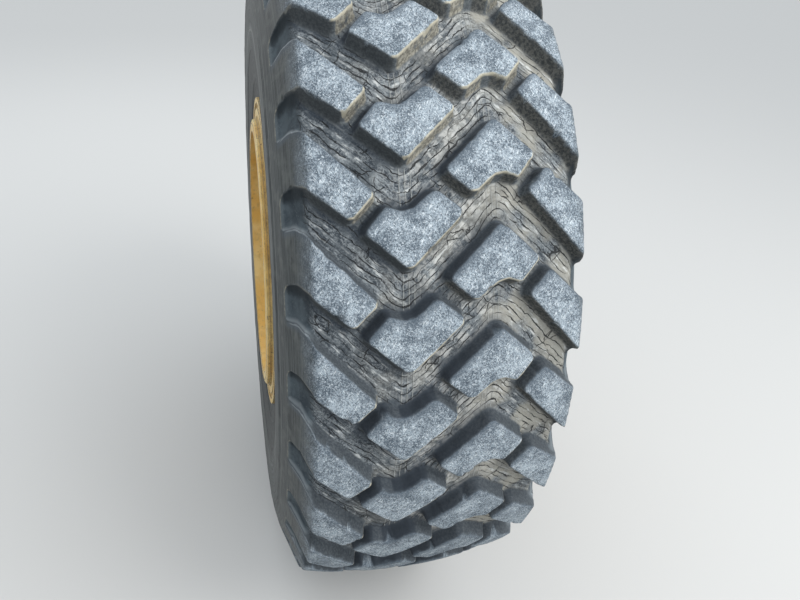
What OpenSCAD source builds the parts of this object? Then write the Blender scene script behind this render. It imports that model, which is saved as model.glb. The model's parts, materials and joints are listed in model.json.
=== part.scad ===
// Front wheel of a motor grader: earthmover tyre, multi-piece rim, disc and hub on a steering knuckle.
// Millimetres. The kingpin's bore stands at the origin: +X forward, +Y inboard, +Z up.
// Profiles of the wheel are [radius, station]. A station is the distance outboard of the wheel's
// middle plane, measured along the axle.

/* [Tyre] */
// Radius over the lugs, in the middle of the tread
tyre_r = 745; // [735:1:755]
// Radius of the arc across the tread
crown_arc_r = 943; // [860:1:1040]
// Width of the tread over its shoulder lugs
tread_w = 418; // [410:1:428]
// Width over the sidewalls
section_w = 498; // [494:1:510]
// Radius at which the sidewalls are widest
widest_r = 530; // [515:1:545]
// Radius of the arc down each sidewall
sidewall_arc_r = 712; // [640:1:800]
// Lean of the buttress below the shoulder, off the radial direction, in degrees
buttress_lean = 20; // [18:0.5:22]
// Number of pitches of the tread
pitch_n = 30; // [28:1:32]
// Depth of the grooves in the middle of the tread
groove_depth = 27; // [20:1:32]
// Radius at which the shoulder lugs run out on the buttress
lug_foot_r = 638; // [630:1:650]
// Slope of the lugs' sides, off the radial direction, in degrees
lug_draft = 12; // [8:1:15]
// Thickness of the tread's base and plies under the grooves
tread_t = 49; // [44:1:56]
// Thickness of the sidewall
sidewall_t = 24; // [18:1:30]
// Width of the bead on its seat
bead_w = 46; // [40:1:52]

/* [Rim] */
// Radius of the bead seats at the side rings
seat_r = 317.5; // [316:0.5:319]
// Width between the side rings
rim_w = 432; // [426:1:438]
// Height of a side ring above the bead seat
flange_h = 43; // [40:1:46]
// Thickness of a side ring
flange_t = 22; // [20:1:25]
// Radius of the round on a side ring, against the tyre
flange_round = 18; // [15:1:20]
// Taper of the bead seats, in degrees
seat_taper = 5; // [4:0.5:6]
// Thickness of the rolled barrel
barrel_t = 12; // [10:0.5:14]
// Thickness of the bead seat band at the side ring
band_t = 14; // [12:0.5:16]
// Width of the bead seat band's seat
band_w = 86; // [76:1:92]
// Width of the groove for the lock ring
gutter_w = 13; // [11:0.5:15]
// Depth of the groove for the lock ring
gutter_depth = 7; // [6:0.5:8]
// Gap between the ends of the split lock ring
lock_gap = 12; // [8:1:20]

/* [Disc] */
// Distance of the disc's mounting face inboard of the middle plane
disc_inset = 30; // [24:1:38]
// Thickness of the disc
disc_t = 16; // [14:1:18]
// Depth of the dish between the mounting face and the barrel
dish_depth = 50; // [44:1:60]
// Leg of the weld between the disc and the barrel
weld_leg = 10; // [8:1:12]
// Number of hand holes
hand_hole_n = 6; // [4:1:8]
// Radius of a hand hole
hand_hole_r = 22; // [18:1:24]

/* [Hub] */
// Number of wheel studs
stud_n = 12; // [10:1:12]
// Radius of the circle of studs
stud_circle_r = 167.5; // [164:0.5:171]
// Diameter of a stud
stud_d = 22; // [20:1:24]
// Width of the disc's flat between its centre hole and the studs
pilot_margin = 29.5; // [27:0.5:32]
// Width of the hub's flange beyond the stud circle
flange_margin = 28.5; // [25:0.5:32]
// Thickness of the hub's flange
hub_flange_t = 22; // [18:1:26]
// Radius of the hub's barrel inboard
hub_barrel_r = 112; // [108:1:118]
// Radius of the hub's nose
hub_nose_r = 98; // [94:1:104]
// Station of the hub's outboard face
hub_face = 88; // [84:1:96]
// Number of ribs behind the hub's flange
hub_rib_n = 6; // [4:1:6]
// Thickness of a rib
hub_rib_t = 14; // [12:1:18]

/* [Bearings] */
// Radius of the spindle in the inner bearing
inner_journal_r = 50; // [47:1:53]
// Outer radius of the inner bearing
inner_bearing_r = 85; // [80:1:88]
// Width of the inner bearing
inner_bearing_w = 46; // [40:1:52]
// Radius of the spindle in the outer bearing
outer_journal_r = 37.5; // [35:0.5:40]
// Outer radius of the outer bearing
outer_bearing_r = 65; // [60:1:68]
// Width of the outer bearing
outer_bearing_w = 38; // [34:1:42]
// Radius of the spindle under the seal
seal_land_r = 62; // [58:1:66]

/* [Knuckle] */
// Distance from the kingpin to the wheel's middle plane
wheel_offset = 335; // [330:1:345]
// Radius of the kingpin's bore in its bushes
kingpin_r = 32; // [30:0.5:33]
// Wall of a kingpin bush
bush_wall = 5; // [4:0.5:6]
// Length of a kingpin bush
bush_len = 95; // [80:1:105]
// Radius of the kingpin boss
boss_r = 60; // [56:1:62]
// Height of the kingpin boss
boss_h = 250; // [240:1:270]
// Largest radius of the spindle's root
root_r = 96; // [92:1:104]
// Reach of the steering arm behind the kingpin
arm_reach = 300; // [280:1:330]
// Thickness of the steering arm
arm_t = 36; // [30:1:40]
// Radius of the bore in the steering arm's eye
eye_bore_r = 16; // [14:0.5:18]
// Radius of the steering arm's eye
eye_r = 38; // [34:1:42]

/* [Fits] */
// Gap between round pieces that are fastened together
seat_gap = 0.1; // [0.05:0.05:0.2]
// Running clearance on the spindle
running_gap = 0.05; // [0.02:0.01:0.1]
// Room around a bolt in its hole
bolt_gap = 1.5; // [1:0.5:2]

/* [Hidden] */

paint = [0.82, 0.62, 0.24];
steel = [0.45, 0.45, 0.46];
rubber = [0.30, 0.32, 0.34];
brass = [0.70, 0.55, 0.25];
facets = 128;
fine = 48;

// Tyre and bead seats
half_tread = tread_w / 2;
half_section = section_w / 2;
half_rim = rim_w / 2;
flange_r = seat_r + flange_h;
flange_out = half_rim + flange_t;
crown_centre = tyre_r - crown_arc_r;
shoulder_r = crown_centre + sqrt(crown_arc_r * crown_arc_r - half_tread * half_tread);
toe_drop = bead_w * tan(seat_taper);
bead_h = 78;
foot_w = min(buttress_at(lug_foot_r), sidewall_at(lug_foot_r));
buttress_run = 60;
buttress_end_r = lug_foot_r - buttress_run;

// Tread pattern. Each point is [station, distance round the crown] from the middle of its pitch.
// The other half of the pitch is the same pattern turned half a turn about that middle.
pitch_start = 5.6;
lug_sink = 8;
crown_drop = 4;
lug_flare = (groove_depth + lug_sink) * tan(lug_draft);
centre_lug = [[-132, -20], [-101, -58], [-80, -52], [-62, -57], [-28, -82], [14, -47], [-69, 33]];
lug_head = [[-150, -37], [-114, -76]];
lug_shoulder = [[-half_tread, -88], [-half_tread, -175]];
lug_foot = [[-foot_w, -98], [-foot_w, -191]];

// Rim, from the barrel outwards
barrel_out_r = seat_r - band_t;
barrel_in_r = barrel_out_r - barrel_t;
lip_t = 12;
lip_h = 9;
band_bevel = 15;
gutter_in = flange_out - gutter_w + 3;
gutter_out = gutter_in + gutter_w;
gutter_r = barrel_out_r - gutter_depth;
rim_end = gutter_out + 9;
back_seat_w = bead_w + 12;

// Disc and hub
face_in = -disc_inset;
face_out = face_in + disc_t;
pilot_r = stud_circle_r - pilot_margin;
hub_flange_r = stud_circle_r + flange_margin;
dish_in_r = hub_flange_r + 12;
dish_out_r = barrel_in_r - 29;
hole_circle_r = (dish_in_r + dish_out_r) / 2;
nut_h = 22;
rib_reach = 64;
valve_at = face_in + dish_depth + disc_t + 40;
valve_r = 8;
valve_stem_r = 5.5;
valve_elbow = valve_r + 1;
valve_len = 62;
valve_cap_len = 22;
valve_elbow_r = barrel_in_r - 34;
stud_head_t = 12;
stud_out = face_out + nut_h + 12;
pilot_stand = 6;

// Bearings and spindle, by station
outer_bearing_out = hub_face - 14;
outer_bearing_in = outer_bearing_out - outer_bearing_w;
inner_bearing_in = -168;
inner_bearing_out = inner_bearing_in + inner_bearing_w;
seal_t = 14;
seal_r = inner_bearing_r + 8;
hub_end = inner_bearing_in - seal_t - 3;
washer_t = 6;
spindle_nut_t = 24;
spindle_nut_r = 48;
thread_r = outer_journal_r - 4;
spindle_end = outer_bearing_out + washer_t + spindle_nut_t + 8;
cap_room = 6;
cap_wall = 5;
cap_flange_t = 10;
cap_bolt_n = 6;
cap_bolt_r = 5;
cap_bolt_turn = 30;
cap_bolt_grip = 18;
cap_bolt_head_h = 7;
cap_dome_r = hub_nose_r - 20;
cap_out = spindle_end + cap_room + cap_wall;
cap_bolt_circle_r = hub_nose_r - 9;

// Kingpin boss and steering arm
pad_len = 56;
pad_w = 72;
pad_h = 44;
pad_y = 8;
pad_rise = 63;
pad_z = pad_rise - boss_h / 2;
eye = [-arm_reach, 30, pad_z - arm_t / 2];
eye_h = arm_t + 14;
arm_bolt_d = 20;
arm_bolt_pitch = 36;
arm_bolt_depth = 34;

// Places a piece drawn about the axle, with its stations along +Z
module on_axle() {
  translate([0, -wheel_offset, 0]) rotate([90, 0, 0]) children();
}

module revolve() {
  rotate_extrude($fn = facets) children();
}

module ring_of(count, radius, start = 0) {
  for (i = [0 : count - 1])
    rotate([0, 0, start + i * 360 / count]) translate([radius, 0, 0]) children();
}

// Section of a side ring outboard: a foot on the bead seat, a face and a round against the tyre
module side_ring_section(gap = 0) {
  difference() {
    union() {
      translate([seat_r, half_rim - gap]) square([flange_h - flange_round, flange_t + gap]);
      translate([flange_r - flange_round, half_rim + flange_round])
        circle(r = flange_round + gap, $fn = fine);
      translate([flange_r - flange_round, half_rim + flange_round])
        square([flange_round + gap, flange_t - flange_round]);
    }
    translate([seat_r - 1, flange_out]) square([flange_h + 2, flange_round * 2]);
  }
}

// Station of the buttress at a radius
function buttress_at(r) = half_tread + tan(buttress_lean) * (shoulder_r - r);

// Station of the sidewall's arc at a radius
function sidewall_at(r) = half_section - sidewall_arc_r + sqrt(sidewall_arc_r ^ 2 - (r - widest_r) ^ 2);

// Outer form of the carcass under the lugs: crown and sidewalls are arcs, the shoulders are cut back
module tyre_outline() {
  floor_w = half_tread - 12;
  wide = half_section + 5;
  strips = 5;
  crown = [for (k = [-strips : strips])
    let (w = floor_w * k / strips) [crown_at(w) - groove_depth - crown_drop * abs(k) / strips, w]];
  intersection() {
    between_sidewalls(half_section, sidewall_arc_r);
    polygon(concat(crown, [
      [lug_foot_r, buttress_at(lug_foot_r)], [buttress_end_r, buttress_at(buttress_end_r)],
      [buttress_end_r - 5, wide], [seat_r, wide], [seat_r, half_rim],
      [seat_r - toe_drop, half_rim - bead_w], [seat_r - toe_drop, bead_w - half_rim],
      [seat_r, -half_rim], [seat_r, -wide], [buttress_end_r - 5, -wide],
      [buttress_end_r, -buttress_at(buttress_end_r)], [lug_foot_r, -buttress_at(lug_foot_r)]]));
  }
}

// The form between two sidewall arcs, one on each side of the middle plane
module between_sidewalls(half_w, arc_r) {
  intersection() {
    translate([widest_r, half_w - arc_r]) circle(r = arc_r, $fn = 360);
    translate([widest_r, arc_r - half_w]) circle(r = arc_r, $fn = 360);
  }
}

// The air space: it narrows towards the rim, where the beads are thick
module tyre_cavity() {
  inner_w = half_section - sidewall_t;
  bead_top = seat_r + bead_h;
  inner_r = shoulder_r - groove_depth - tread_t;
  intersection() {
    translate([crown_centre, 0]) circle(r = crown_arc_r - groove_depth - tread_t, $fn = 360);
    between_sidewalls(inner_w, sidewall_arc_r - sidewall_t);
    polygon([
      [seat_r - toe_drop - 1, bead_w - half_rim], [bead_top, 12 - half_rim], [widest_r, -inner_w],
      [inner_r, -half_tread * 0.92], [tyre_r, -half_tread * 0.6],
      [tyre_r, half_tread * 0.6], [inner_r, half_tread * 0.92],
      [widest_r, inner_w], [bead_top, half_rim - 12], [seat_r - toe_drop - 1, half_rim - bead_w]]);
  }
}

// Closed solid through rings of points, with each end closed round its own middle point
module loft(rings, first_middle, last_middle) {
  n = len(rings[0]);
  last = (len(rings) - 1) * n;
  first_at = len(rings) * n;
  polyhedron(
    points = concat([for (ring = rings) each ring], [first_middle, last_middle]),
    faces = concat(
      [for (i = [0 : n - 1]) [(i + 1) % n, i, first_at]],
      [for (i = [0 : n - 1]) [last + i, last + (i + 1) % n, first_at + 1]],
      [for (k = [0 : n : last - n], i = [0 : n - 1]) each [
        [k + i, k + (i + 1) % n, k + n + i], [k + (i + 1) % n, k + n + (i + 1) % n, k + n + i]]]));
}

// Radius of the crown over the lugs at a station
function crown_at(w) = crown_centre + sqrt(crown_arc_r * crown_arc_r - w * w);

// Point at a station and a distance round the crown, at a given radius
function round_crown(w, along, r) = [
  r * cos(along / tyre_r * 180 / PI), r * sin(along / tyre_r * 180 / PI), w];

function middle_of(points) = [for (k = [0 : len(points[0]) - 1])
  [for (p = points) p[k]] * [for (p = points) 1] / len(points)];

function away_from(p, middle, distance) = p + (p - middle) * distance / norm(p - middle);

// Block in the middle of the tread: its outline on the crown, flared down into the carcass
module centre_block() {
  middle = middle_of(centre_lug);
  base = [for (p = centre_lug) away_from(p, middle, lug_flare)];
  sunk = groove_depth + lug_sink;
  loft(
    [[for (p = base) round_crown(p[0], p[1], crown_at(p[0]) - sunk)],
      [for (p = centre_lug) round_crown(p[0], p[1], crown_at(p[0]))]],
    round_crown(middle[0], middle[1], crown_at(middle[0]) - sunk),
    round_crown(middle[0], middle[1], crown_at(middle[0])));
}

// Cross-section of a shoulder lug between its two top edges at one station
function lug_section(edges, r, sunk) = [
  round_crown(edges[0][0], edges[0][1], r), round_crown(edges[1][0], edges[1][1], r),
  round_crown(edges[1][0], edges[1][1] - sunk * tan(lug_draft), r - sunk),
  round_crown(edges[0][0], edges[0][1] + sunk * tan(lug_draft), r - sunk)];

// Shoulder lug: from its head across the shoulder and down the buttress
module shoulder_lug() {
  sunk = groove_depth + lug_sink + 2;
  sections = [
    lug_section(lug_foot, lug_foot_r - lug_sink / 2, 20),
    lug_section(lug_shoulder, shoulder_r, sunk + 4),
    lug_section(lug_head, crown_at(lug_head[0][0]), sunk)];
  loft(sections, middle_of(sections[0]), middle_of(sections[2]));
}

module tyre() {
  color(rubber) on_axle() {
    revolve() difference() {
      tyre_outline();
      tyre_cavity();
      side_ring_section(seat_gap);
      mirror([0, 1]) side_ring_section(seat_gap);
    }
    for (i = [0 : pitch_n - 1], turn = [0, 180])
      rotate([0, 0, pitch_start + i * 360 / pitch_n]) rotate([turn, 0, 0]) {
        centre_block();
        shoulder_lug();
      }
  }
}

// Rolled barrel with a fixed seat and lip inboard and the lock ring's groove outboard
module rim_base() {
  seat_end = back_seat_w - half_rim;
  color(paint) on_axle() difference() {
    revolve() polygon([
      [barrel_in_r, -flange_out - lip_t], [seat_r + lip_h, -flange_out - lip_t],
      [seat_r + lip_h, -flange_out], [seat_r, -flange_out], [seat_r, -half_rim],
      [seat_r - toe_drop - seat_gap, bead_w - half_rim], [seat_r - toe_drop - seat_gap, seat_end],
      [barrel_out_r, seat_end + 2 * band_t],
      [barrel_out_r, gutter_in], [gutter_r, gutter_in], [gutter_r, gutter_out],
      [barrel_out_r - 1, gutter_out], [barrel_out_r - 1, rim_end], [barrel_in_r - 6, rim_end],
      [barrel_in_r - 6, gutter_in - 10], [barrel_in_r, gutter_in - 26]]);
    translate([0, 0, valve_at]) rotate([-90, 0, 0])
      cylinder(r = valve_r + seat_gap, h = seat_r, $fn = fine);
  }
}

// Loose band that carries the outboard bead and side ring; its bevel rests on the lock ring
module bead_seat_band() {
  toe = half_rim - bead_w;
  color(paint) on_axle() revolve() polygon([
    [barrel_out_r + seat_gap, half_rim - band_w], [seat_r - toe_drop - seat_gap, toe - 12],
    [seat_r - toe_drop - seat_gap, toe], [seat_r - seat_gap, half_rim],
    [seat_r - seat_gap, flange_out], [seat_r - seat_gap, flange_out + 4],
    [barrel_out_r + band_bevel * 0.6, flange_out + 4], [barrel_out_r + seat_gap, gutter_in]]);
}

module side_ring() {
  revolve() difference() {
    side_ring_section();
    translate([flange_r - flange_round, flange_out]) circle(r = flange_t - flange_round + 2, $fn = fine);
  }
}

module inner_side_ring() {
  color(paint) on_axle() mirror([0, 0, 1]) side_ring();
}

module outer_side_ring() {
  color(paint) on_axle() side_ring();
}

// Split ring: its foot sits in the groove and its shoulder bears on the band's bevel
module lock_ring() {
  foot_in = gutter_in + seat_gap;
  foot_out = gutter_out - seat_gap;
  bevel_w = flange_out + 4 - gutter_in;
  bevel_rise = band_bevel * 0.6;
  color(paint) on_axle() difference() {
    revolve() polygon([
      [gutter_r + seat_gap, foot_in], [barrel_out_r, foot_in + 2 * seat_gap],
      [barrel_out_r + bevel_rise, foot_in + bevel_w + 2 * seat_gap],
      [barrel_out_r + bevel_rise, rim_end - 3], [barrel_out_r + 3, rim_end],
      [barrel_out_r, rim_end], [barrel_out_r, foot_out], [gutter_r + seat_gap, foot_out]]);
    rotate([0, 0, 200]) translate([gutter_r - 5, -lock_gap / 2, gutter_in - 5])
      cube([40, lock_gap, rim_end]);
  }
}

// Dished disc, welded into the barrel, with stud holes on the flat and hand holes in the dish
module wheel_disc() {
  rim_face = face_in + dish_depth;
  edge_r = barrel_in_r - seat_gap;
  color(paint) on_axle() difference() {
    revolve() {
      polygon([
        [pilot_r + seat_gap, face_in], [dish_in_r, face_in], [dish_out_r, rim_face],
        [edge_r - weld_leg, rim_face], [edge_r, rim_face - weld_leg],
        [edge_r, rim_face + disc_t + weld_leg], [edge_r - weld_leg, rim_face + disc_t],
        [dish_out_r - 6, rim_face + disc_t], [dish_in_r - 6, face_out], [pilot_r + seat_gap, face_out]]);
    }
    ring_of(stud_n, stud_circle_r) translate([0, 0, face_in - 1])
      cylinder(d = stud_d + 2 * bolt_gap, h = disc_t + 2, $fn = fine);
    ring_of(hand_hole_n, hole_circle_r, 15) translate([0, 0, face_in - 1])
      cylinder(r = hand_hole_r, h = dish_depth + disc_t + 2, $fn = fine);
  }
}

module wheel_studs() {
  color(steel) on_axle() ring_of(stud_n, stud_circle_r) {
    translate([0, 0, face_in - hub_flange_t - stud_head_t])
      cylinder(d = stud_d + 12, h = stud_head_t, $fn = fine);
    translate([0, 0, face_in - hub_flange_t - 1])
      cylinder(d = stud_d, h = stud_out - face_in + hub_flange_t, $fn = fine);
    translate([0, 0, stud_out - 1]) cylinder(d1 = stud_d, d2 = stud_d - 4, h = 2, $fn = fine);
  }
}

// Flanged hexagon nuts on the disc
module wheel_nuts() {
  washer_r = stud_d + 1;
  color(paint) on_axle() ring_of(stud_n, stud_circle_r) difference() {
    union() {
      translate([0, 0, face_out]) cylinder(r = washer_r, h = 5, $fn = fine);
      translate([0, 0, face_out + 4]) cylinder(r = stud_d * 0.86, h = nut_h - 4, $fn = 6);
    }
    translate([0, 0, face_out - 1]) cylinder(r = stud_d / 2 + seat_gap, h = nut_h + 2, $fn = fine);
  }
}

// Cast hub: flange, pilot and nose outside, seats for the seal and both bearings inside
module hub() {
  flange_in = face_in - hub_flange_t;
  color(paint) on_axle() difference() {
    union() {
      revolve() polygon([
        [outer_bearing_r - 8, hub_end], [hub_barrel_r, hub_end], [hub_barrel_r, flange_in - 16],
        [hub_barrel_r + 16, flange_in], [hub_flange_r, flange_in], [hub_flange_r, face_in],
        [pilot_r, face_in], [pilot_r, face_out + pilot_stand], [pilot_r - 8, face_out + pilot_stand],
        [hub_nose_r, face_out + 46], [hub_nose_r, hub_face], [outer_bearing_r - 8, hub_face]]);
      for (i = [0 : hub_rib_n - 1]) rotate([90, 0, 15 + i * 360 / hub_rib_n])
        translate([0, 0, -hub_rib_t / 2]) linear_extrude(hub_rib_t) polygon([
          [hub_barrel_r - 6, flange_in + 1], [hub_flange_r - 6, flange_in + 1],
          [hub_flange_r - 6, flange_in - 8], [hub_barrel_r + 12, flange_in - rib_reach],
          [hub_barrel_r - 6, flange_in - rib_reach]]);
    }
    translate([0, 0, hub_end - 1])
      cylinder(r = seal_r, h = inner_bearing_in - hub_end + 1, $fn = facets);
    translate([0, 0, inner_bearing_in - 1])
      cylinder(r = inner_bearing_r, h = inner_bearing_w + 1, $fn = facets);
    translate([0, 0, outer_bearing_in])
      cylinder(r = outer_bearing_r, h = hub_face - outer_bearing_in + 1, $fn = facets);
    ring_of(stud_n, stud_circle_r) translate([0, 0, flange_in - 1])
      cylinder(d = stud_d + 2 * seat_gap, h = hub_flange_t + 2, $fn = fine);
    ring_of(cap_bolt_n, cap_bolt_circle_r, cap_bolt_turn) translate([0, 0, hub_face - cap_bolt_grip - 2])
      cylinder(r = cap_bolt_r + seat_gap, h = cap_bolt_grip + 3, $fn = fine);
  }
}

// Domed cap over the spindle's nut
module hub_cap() {
  shell_in = cap_out - cap_wall;
  color(paint) on_axle() difference() {
    revolve() polygon([
      [cap_dome_r - cap_wall, hub_face], [hub_nose_r, hub_face], [hub_nose_r, hub_face + cap_flange_t],
      [cap_dome_r + 2, hub_face + cap_flange_t], [cap_dome_r, hub_face + cap_flange_t + 2],
      [cap_dome_r, cap_out - 16], [cap_dome_r - 6, cap_out - 6], [cap_dome_r - 18, cap_out], [0, cap_out],
      [0, shell_in], [cap_dome_r - 20, shell_in], [cap_dome_r - cap_wall, shell_in - 14]]);
    ring_of(cap_bolt_n, cap_bolt_circle_r, cap_bolt_turn) translate([0, 0, hub_face - 1])
      cylinder(r = cap_bolt_r + seat_gap, h = cap_flange_t + 2, $fn = fine);
  }
}

module hub_cap_bolts() {
  color(steel) on_axle() ring_of(cap_bolt_n, cap_bolt_circle_r, cap_bolt_turn) {
    translate([0, 0, hub_face - cap_bolt_grip])
      cylinder(r = cap_bolt_r, h = cap_bolt_grip + cap_flange_t + 1, $fn = fine);
    translate([0, 0, hub_face + cap_flange_t]) cylinder(r = cap_bolt_r * 1.75, h = cap_bolt_head_h, $fn = 6);
  }
}

// A ring that fills its seat in the hub and runs on the spindle
module bearing_ring(out_r, in_r, from, width) {
  revolve() translate([in_r + running_gap, from]) square([out_r - in_r - running_gap - seat_gap, width]);
}

module hub_seal() {
  color(rubber) on_axle() bearing_ring(seal_r, seal_land_r, hub_end + 2, seal_t);
}

module inner_bearing() {
  color(steel) on_axle()
    bearing_ring(inner_bearing_r, inner_journal_r, inner_bearing_in + 0.3, inner_bearing_w - 0.3);
}

module outer_bearing() {
  color(steel) on_axle()
    bearing_ring(outer_bearing_r, outer_journal_r, outer_bearing_in, outer_bearing_w - 0.3);
}

// Brass valve: radial spud through the barrel, then an elbow out towards the open side
module valve_stem() {
  color(brass) on_axle() {
    translate([0, 0, valve_at]) rotate([-90, 0, 0]) {
      translate([0, 0, valve_elbow_r])
        cylinder(r = valve_r, h = barrel_out_r - valve_elbow_r - 1, $fn = fine);
      translate([0, 0, barrel_in_r - 10]) cylinder(r = 14, h = 9.9, $fn = 6);
    }
    translate([0, valve_elbow_r, valve_at]) {
      sphere(r = valve_elbow, $fn = fine);
      cylinder(r = valve_stem_r, h = valve_len, $fn = fine);
      translate([0, 0, 8]) cylinder(r = valve_r, h = 14, $fn = 6);
    }
  }
}

module valve_cap() {
  cap_grip = 16;
  color(steel) on_axle() translate([0, valve_elbow_r, valve_at + valve_len - cap_grip]) difference() {
    cylinder(r = valve_r, h = valve_cap_len, $fn = fine);
    translate([0, 0, -1]) cylinder(r = valve_stem_r + seat_gap, h = cap_grip + 1 + seat_gap, $fn = fine);
  }
}

// Forging: upright kingpin boss, spindle with its root, and the pad for the steering arm
module knuckle() {
  root_in = 45 - wheel_offset;
  color(paint) difference() {
    union() {
      rotate_extrude($fn = facets) polygon([
        [0, -boss_h / 2], [boss_r - 4, -boss_h / 2], [boss_r, 4 - boss_h / 2],
        [boss_r, boss_h / 2 - 4], [boss_r - 4, boss_h / 2], [0, boss_h / 2]]);
      on_axle() revolve() polygon([
        [0, root_in - 25], [root_r - 40, root_in - 25], [root_r, root_in + 20], [root_r, root_in + 36],
        [root_r - 20, root_in + 52], [seal_land_r + 8, hub_end - 22], [seal_land_r + 8, hub_end - 14],
        [seal_land_r, hub_end - 10], [seal_land_r, inner_bearing_in],
        [inner_journal_r, inner_bearing_in], [inner_journal_r, inner_bearing_out + 6],
        [inner_journal_r - 5, inner_bearing_out + 16], [outer_journal_r + 4, outer_bearing_in - 12],
        [outer_journal_r, outer_bearing_in - 6], [outer_journal_r, outer_bearing_out],
        [thread_r, outer_bearing_out], [thread_r, spindle_end - 3], [thread_r - 3, spindle_end],
        [0, spindle_end]]);
      translate([-boss_r - pad_len, pad_y - pad_w / 2, pad_z]) cube([boss_r + pad_len, pad_w, pad_h]);
    }
    cylinder(r = kingpin_r + bush_wall, h = boss_h + 2, center = true, $fn = facets);
    arm_bolt_places() translate([0, 0, pad_z - 1])
      cylinder(r = arm_bolt_d / 2 + seat_gap, h = arm_bolt_depth + 1, $fn = fine);
  }
}

module spindle_washer() {
  color(steel) on_axle() bearing_ring(spindle_nut_r + 2, thread_r + seat_gap, outer_bearing_out, washer_t);
}

module spindle_nut() {
  color(steel) on_axle() translate([0, 0, outer_bearing_out + washer_t]) difference() {
    cylinder(r = spindle_nut_r, h = spindle_nut_t, $fn = 6);
    translate([0, 0, -1]) cylinder(r = thread_r + seat_gap, h = spindle_nut_t + 2, $fn = facets);
  }
}

module kingpin_bushes() {
  for (side = [-1, 1])
    color(brass) translate([0, 0, side * (boss_h - bush_len) / 2]) difference() {
      cylinder(r = kingpin_r + bush_wall - seat_gap, h = bush_len, center = true, $fn = facets);
      cylinder(r = kingpin_r, h = bush_len + 2, center = true, $fn = facets);
    }
}

module arm_bolt_places() {
  for (side = [-1, 1])
    translate([-boss_r - pad_len / 2 - 2, pad_y + side * arm_bolt_pitch / 2, 0]) children();
}

// Flat forged arm: a root under the pad and a tapered shank back to the tie rod's eye
module steering_arm() {
  root_x = -boss_r - 2;
  shank_x = root_x - pad_len + 2;
  color(paint) difference() {
    union() {
      translate([0, 0, pad_z - arm_t]) linear_extrude(arm_t) polygon([
        [root_x, pad_y - pad_w / 2], [shank_x, pad_y - pad_w / 2], [eye[0], eye[1] - eye_r * 0.7],
        [eye[0], eye[1] + eye_r * 0.7], [shank_x, pad_y + pad_w / 2], [root_x, pad_y + pad_w / 2]]);
      translate(eye) cylinder(r = eye_r, h = eye_h, center = true, $fn = facets);
    }
    translate(eye) cylinder(r = eye_bore_r, h = eye_h + 2, center = true, $fn = facets);
    arm_bolt_places() translate([0, 0, pad_z - arm_t - 1])
      cylinder(r = arm_bolt_d / 2 + seat_gap, h = arm_t + 2, $fn = fine);
  }
}

module arm_bolts() {
  color(steel) arm_bolt_places() {
    translate([0, 0, pad_z - arm_t - 1]) cylinder(d = arm_bolt_d, h = arm_t + arm_bolt_depth, $fn = fine);
    translate([0, 0, pad_z - arm_t - 13]) cylinder(r = arm_bolt_d * 0.85, h = 13, $fn = 6);
  }
}

module grease_fittings() {
  for (side = [-1, 1])
    color(steel) translate([0, boss_r, side * (boss_h - bush_len) / 2]) rotate([-90, 0, 0]) {
      cylinder(r = 6.5, h = 7, $fn = 6);
      cylinder(r = 3.5, h = 12, $fn = fine);
      translate([0, 0, 13]) sphere(r = 4, $fn = fine);
    }
}

tyre();
rim_base();
bead_seat_band();
inner_side_ring();
outer_side_ring();
lock_ring();
wheel_disc();
wheel_studs();
wheel_nuts();
hub();
hub_cap();
hub_cap_bolts();
hub_seal();
inner_bearing();
outer_bearing();
valve_stem();
valve_cap();
knuckle();
spindle_washer();
spindle_nut();
kingpin_bushes();
steering_arm();
arm_bolts();
grease_fittings();
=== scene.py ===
"""Looks of a motor grader's front wheel on its steering knuckle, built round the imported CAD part.

Five meshes replace the tyre, on the same profile as its solid: three sectors of tread and two sidewalls.
All else is the CAD solids with procedural materials. Lengths are in millimetres unless a comment says
otherwise. The row frame has +X forward, +Y inboard and +Z up, and the wheel turns about Y.
"""

import json
import math

import bpy
import numpy as np
from mathutils import Matrix, Vector
from mathutils.geometry import delaunay_2d_cdt


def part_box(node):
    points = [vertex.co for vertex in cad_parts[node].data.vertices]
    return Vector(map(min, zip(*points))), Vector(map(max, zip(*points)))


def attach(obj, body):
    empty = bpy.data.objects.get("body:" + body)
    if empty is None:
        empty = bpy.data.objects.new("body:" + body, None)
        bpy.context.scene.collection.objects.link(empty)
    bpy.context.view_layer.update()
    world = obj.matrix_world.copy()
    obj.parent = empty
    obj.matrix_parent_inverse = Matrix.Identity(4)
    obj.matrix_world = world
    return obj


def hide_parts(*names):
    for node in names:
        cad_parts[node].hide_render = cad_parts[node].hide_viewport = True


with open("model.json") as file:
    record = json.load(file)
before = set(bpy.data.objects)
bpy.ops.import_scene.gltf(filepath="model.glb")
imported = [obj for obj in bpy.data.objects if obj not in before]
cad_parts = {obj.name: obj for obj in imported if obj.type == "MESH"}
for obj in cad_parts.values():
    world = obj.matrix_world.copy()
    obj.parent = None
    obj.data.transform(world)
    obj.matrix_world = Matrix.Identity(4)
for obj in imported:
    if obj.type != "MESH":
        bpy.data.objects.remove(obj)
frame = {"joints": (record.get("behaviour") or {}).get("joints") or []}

MM = 0.001
OUTBOARD, INBOARD = 1, -1
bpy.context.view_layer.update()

# The wheel, measured from the frame
SKIN_INSET = 0.3
FLOOR_GAP = 0.2
spin = next(joint for joint in frame["joints"] if joint["name"] == "wheel_spin")
wheel_y = spin["pos_m"][1] / MM
tyre_low, tyre_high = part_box("tyre")
tyre_r = min(tyre_high.z, -tyre_low.z, tyre_high.x) / MM - SKIN_INSET
half_section = (tyre_high.y - tyre_low.y) / 2 / MM
floor_z = -(tyre_r + FLOOR_GAP) * MM

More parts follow.
